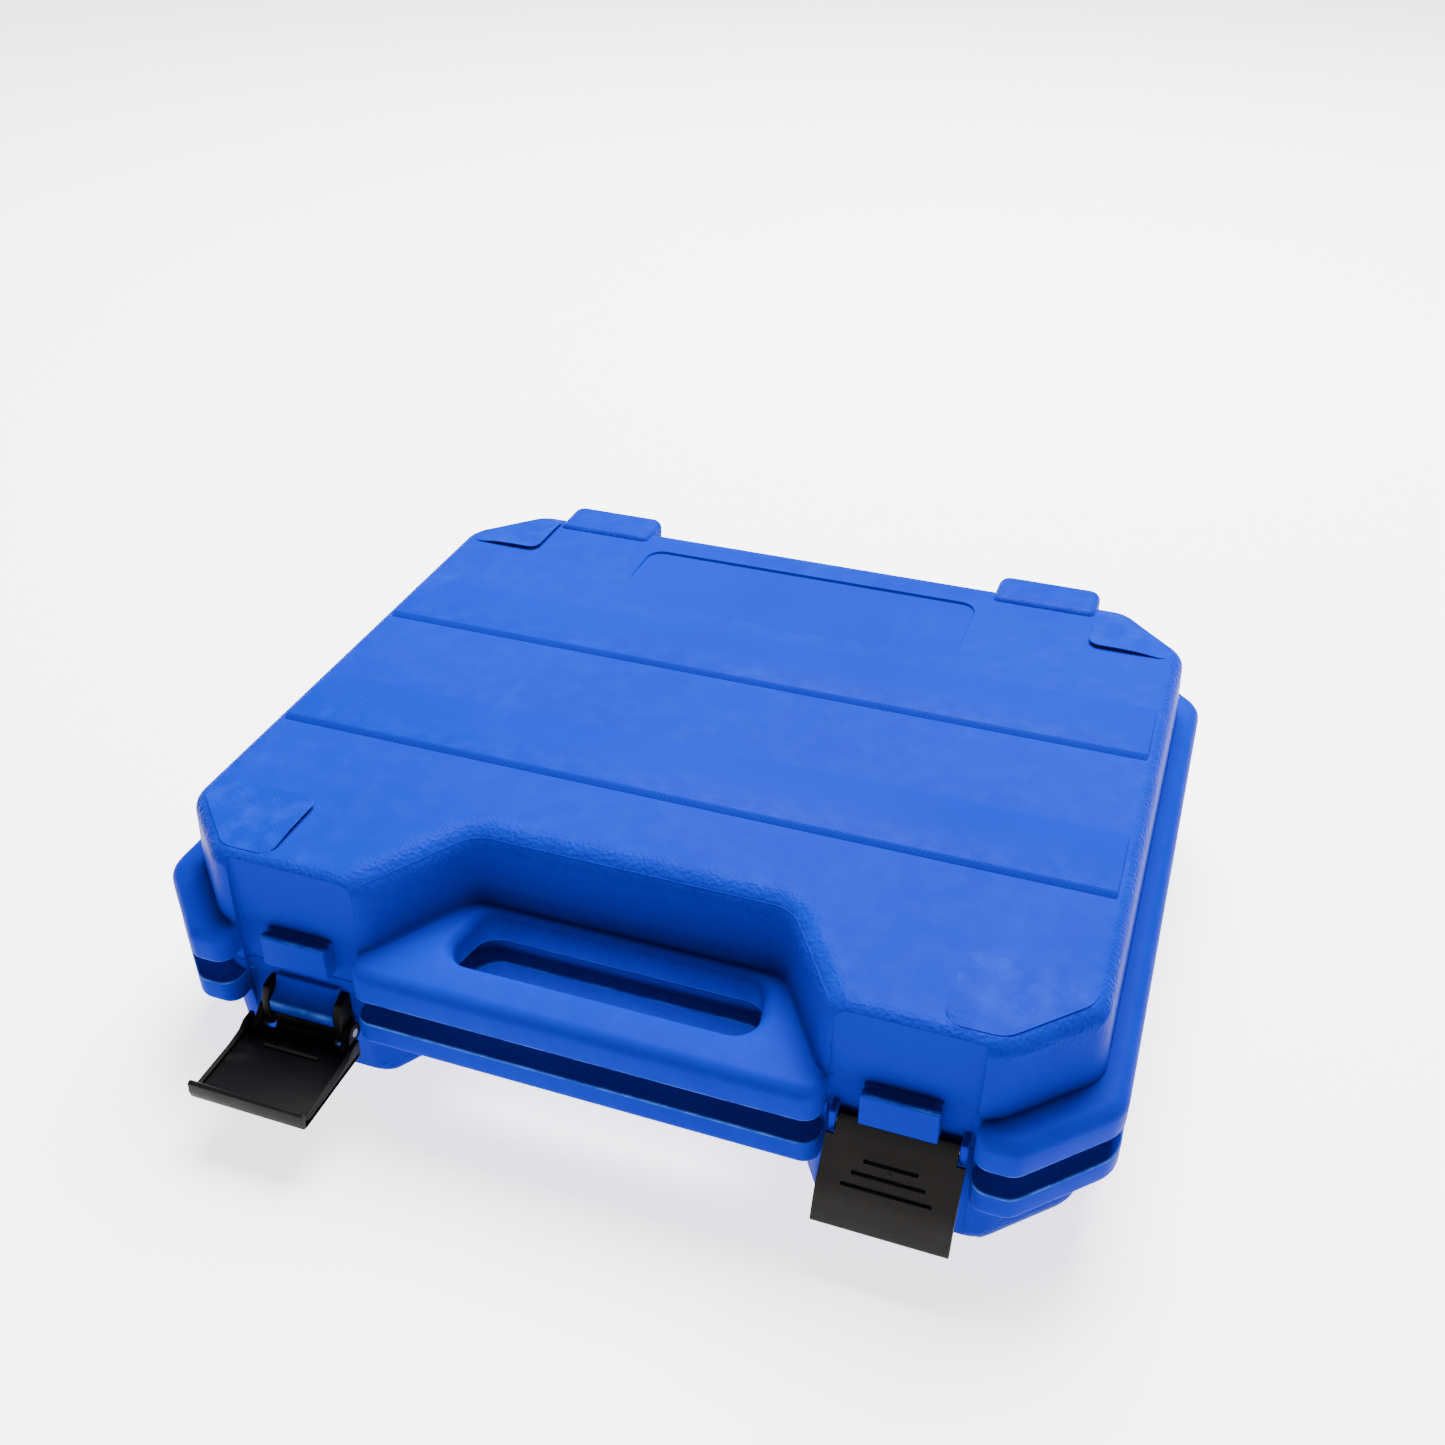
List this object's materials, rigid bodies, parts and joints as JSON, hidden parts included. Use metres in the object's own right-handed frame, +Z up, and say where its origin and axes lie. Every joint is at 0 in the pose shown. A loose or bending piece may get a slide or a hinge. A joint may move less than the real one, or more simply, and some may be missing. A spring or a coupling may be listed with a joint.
{
  "type": "socket wrench set in case",
  "caption": "Flat blow-moulded carry case with an integral handle, two front latches and a rear-hinged lid, holding a ratchet, sockets and drive bars in a foam tray.",
  "frame": {"origin": "on the ground, under the middle of the case's flange outline", "axes": "+X to the right seen from the carry handle, +Y towards the hinges, +Z up"},
  "size_m": [0.33, 0.3173, 0.091],
  "materials": {
    "case_blue": "blow-moulded, fine texture",
    "latch_black": "semi-matt moulded",
    "tray_foam": "closed-cell foam",
    "lid_foam_grey": "open-cell foam",
    "chrome": "polished chrome vanadium",
    "steel": "machined steel",
    "grip_rubber": "ribbed rubber",
    "dark_steel": "blackened steel"
  },
  "bodies": {
    "case": {"base_shell": "case_blue", "socket_tray": "tray_foam", "hinge_pins": "steel", "latch_left_bracket": "latch_black", "latch_left_pin": "steel", "ratchet_body": "chrome", "ratchet_grip": "grip_rubber", "ratchet_cover": "chrome", "ratchet_screws": "dark_steel", "extension_long": "chrome", "extension_short": "chrome", "tee_bar": "chrome", "tee_bar_stops": "steel", "ujoint_input_yoke": "chrome", "plug_socket_small": "chrome", "plug_socket_large": "chrome", "plug_rubber_small": "grip_rubber", "plug_rubber_large": "grip_rubber", "socket_10mm": "chrome", "socket_11mm": "chrome", "socket_12mm": "chrome", "socket_13mm": "chrome", "socket_14mm": "chrome", "socket_15mm": "chrome", "socket_16mm": "chrome", "socket_17mm": "chrome", "socket_18mm": "chrome", "socket_19mm": "chrome", "socket_20mm": "chrome", "socket_21mm": "chrome", "socket_22mm": "chrome", "socket_24mm": "chrome", "socket_27mm": "chrome", "socket_30mm": "chrome", "socket_32mm": "chrome"},
    "lid": {"lid_shell": "case_blue", "lid_foam": "lid_foam_grey", "latch_right_pin": "steel"},
    "left_latch": {"latch_left": "latch_black"},
    "right_latch": {"latch_right": "latch_black"},
    "ratchet_drive": {"ratchet_gear": "steel", "ratchet_button_spring": "steel"},
    "release_button": {"ratchet_button": "chrome"},
    "direction_selector": {"ratchet_pawl": "dark_steel", "ratchet_lever": "dark_steel"},
    "tee_head": {"tee_slider": "chrome"},
    "ujoint_middle": {"ujoint_cross": "steel"},
    "ujoint_output": {"ujoint_output_yoke": "chrome"}
  },
  "joints": [
    {"name": "lid_hinge", "type": "hinge", "parent": "case", "child": "lid", "pos_m": [0, 0.1415, 0.04475], "axis": [-1, 0, 0], "range_deg": [0, 105]},
    {"name": "left_latch_hinge", "type": "hinge", "parent": "case", "child": "left_latch", "pos_m": [-0.102, -0.1319, 0.026], "axis": [-1, 0, 0], "range_deg": [0, 90]},
    {"name": "right_latch_hinge", "type": "hinge", "parent": "lid", "child": "right_latch", "pos_m": [0.102, -0.1299, 0.0458], "axis": [-1, 0, 0], "range_deg": [-10, 53]},
    {"name": "ratchet_drive_spin", "type": "hinge", "parent": "case", "child": "ratchet_drive", "pos_m": [0.118, -0.07, 0.037], "axis": [0, 0, 1], "continuous": true},
    {"name": "release_button_slide", "type": "slide", "parent": "ratchet_drive", "child": "release_button", "axis": [0, 0, -1], "range_m": [0, 0.0015], "stiffness_N_per_m": 300, "springref_m": -0.0006, "deforming": ["ratchet_button_spring"]},
    {"name": "direction_selector_turn", "type": "hinge", "parent": "case", "child": "direction_selector", "pos_m": [0.0985, -0.07, 0.046], "axis": [0, 0, 1], "range_deg": [-12, 12]},
    {"name": "tee_head_slide", "type": "slide", "parent": "case", "child": "tee_head", "axis": [1, 0, 0], "range_m": [0, 0.084]},
    {"name": "ujoint_swing", "type": "hinge", "parent": "case", "child": "ujoint_middle", "pos_m": [0.044, -0.035, 0.038], "axis": [0, 0, 1], "range_deg": [-20, 20]},
    {"name": "ujoint_tilt", "type": "hinge", "parent": "ujoint_middle", "child": "ujoint_output", "pos_m": [0.044, -0.035, 0.038], "axis": [0, 1, 0], "range_deg": [-12, 12]}
  ]
}
